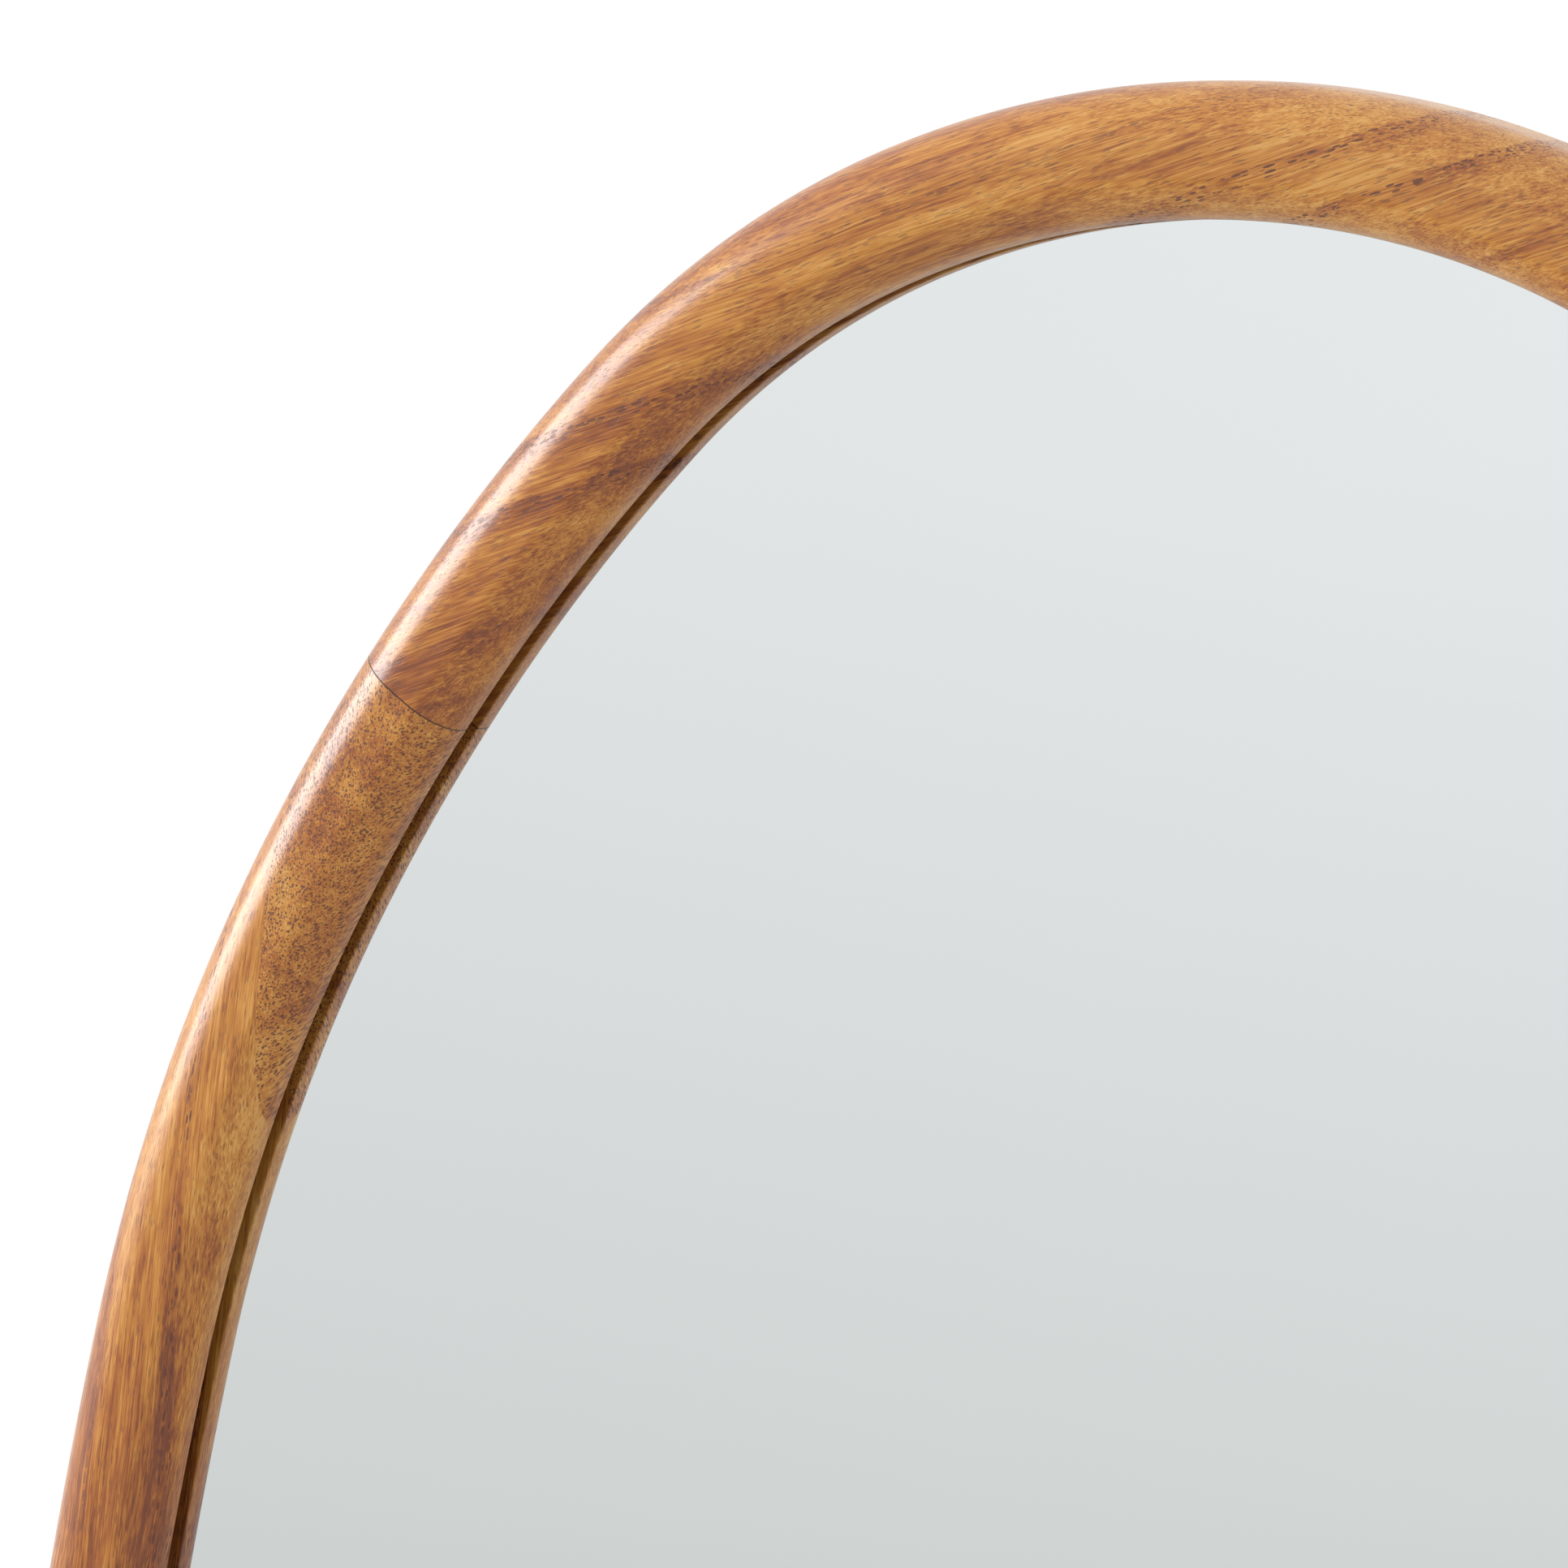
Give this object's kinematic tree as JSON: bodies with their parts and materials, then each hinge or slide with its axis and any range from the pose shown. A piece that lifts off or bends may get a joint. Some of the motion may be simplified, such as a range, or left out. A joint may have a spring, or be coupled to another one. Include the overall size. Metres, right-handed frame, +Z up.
{
  "type": "cheval floor mirror",
  "caption": "Tall egg-ended oval mirror in a round-nosed solid wood frame, tilting between posts on arched feet with clamping side knobs.",
  "frame": {"origin": "on the floor, midway between the posts and midway between the toes of the feet", "axes": "+Z up, +X to the right seen from the front, -Y towards the viewer: the glass faces -Y when upright"},
  "size_m": [0.9396, 0.4998, 1.63],
  "materials": {
    "frame_wood": "honey-brown hardwood, sanded smooth, satin lacquer",
    "dowel_wood": "plain beech",
    "mirror_glass": "polished, silvered on the back",
    "foam_tape": "matte foam",
    "hardboard": "dark hardboard, matte",
    "zinc_steel": "zinc plated",
    "brass": "brushed",
    "stand_wood": "honey-brown hardwood, sanded smooth, satin lacquer",
    "pad_rubber": "matte",
    "nylon": "satin nylon",
    "fibre": "matte pressed fibre"
  },
  "bodies": {
    "stand": {"left_post": "stand_wood", "right_post": "stand_wood", "left_foot": "stand_wood", "right_foot": "stand_wood", "stretcher": "stand_wood", "foot_pads": "pad_rubber", "left_bushing": "nylon", "right_bushing": "nylon", "left_friction_washer": "fibre", "right_friction_washer": "fibre", "foot_bolts": "zinc_steel", "foot_bolt_washers": "zinc_steel", "post_inserts": "brass", "stretcher_bolts": "zinc_steel", "stretcher_bolt_washers": "zinc_steel", "stretcher_inserts": "brass", "bolt_caps": "stand_wood"},
    "mirror": {"frame_top": "frame_wood", "frame_left": "frame_wood", "frame_right": "frame_wood", "frame_bottom": "frame_wood", "frame_dowels": "dowel_wood", "mirror_glass": "mirror_glass", "mounting_tape": "foam_tape", "back_panel": "hardboard", "back_clips": "zinc_steel", "clip_screws": "zinc_steel", "left_insert": "brass", "right_insert": "brass", "left_spacer": "brass", "right_spacer": "brass"},
    "left_clamp": {"left_washer": "brass"},
    "right_clamp": {"right_washer": "brass"},
    "left_screw": {"left_knob": "stand_wood", "left_ferrule": "brass", "left_stud": "zinc_steel"},
    "right_screw": {"right_knob": "stand_wood", "right_ferrule": "brass", "right_stud": "zinc_steel"}
  },
  "joints": [
    {"name": "mirror_tilt", "type": "hinge", "parent": "stand", "child": "mirror", "pos_m": [0, 0, 0.9], "axis": [-1, 0, 0], "continuous": true},
    {"name": "left_knob_travel", "type": "slide", "parent": "mirror", "child": "left_clamp", "axis": [-1, 0, 0], "range_m": [0, 0.0025]},
    {"name": "left_knob_turn", "type": "hinge", "parent": "left_clamp", "child": "left_screw", "pos_m": [-0.4388, 0, 0.9], "axis": [-1, 0, 0], "range_deg": [0, 720]},
    {"name": "right_knob_travel", "type": "slide", "parent": "mirror", "child": "right_clamp", "axis": [1, 0, 0], "range_m": [0, 0.0025]},
    {"name": "right_knob_turn", "type": "hinge", "parent": "right_clamp", "child": "right_screw", "pos_m": [0.4388, 0, 0.9], "axis": [1, 0, 0], "range_deg": [0, 720]}
  ],
  "couplings": [
    {"joint": "left_knob_turn", "follows": "left_knob_travel", "rad_per_m": 5026.5},
    {"joint": "right_knob_turn", "follows": "right_knob_travel", "rad_per_m": 5026.5}
  ]
}
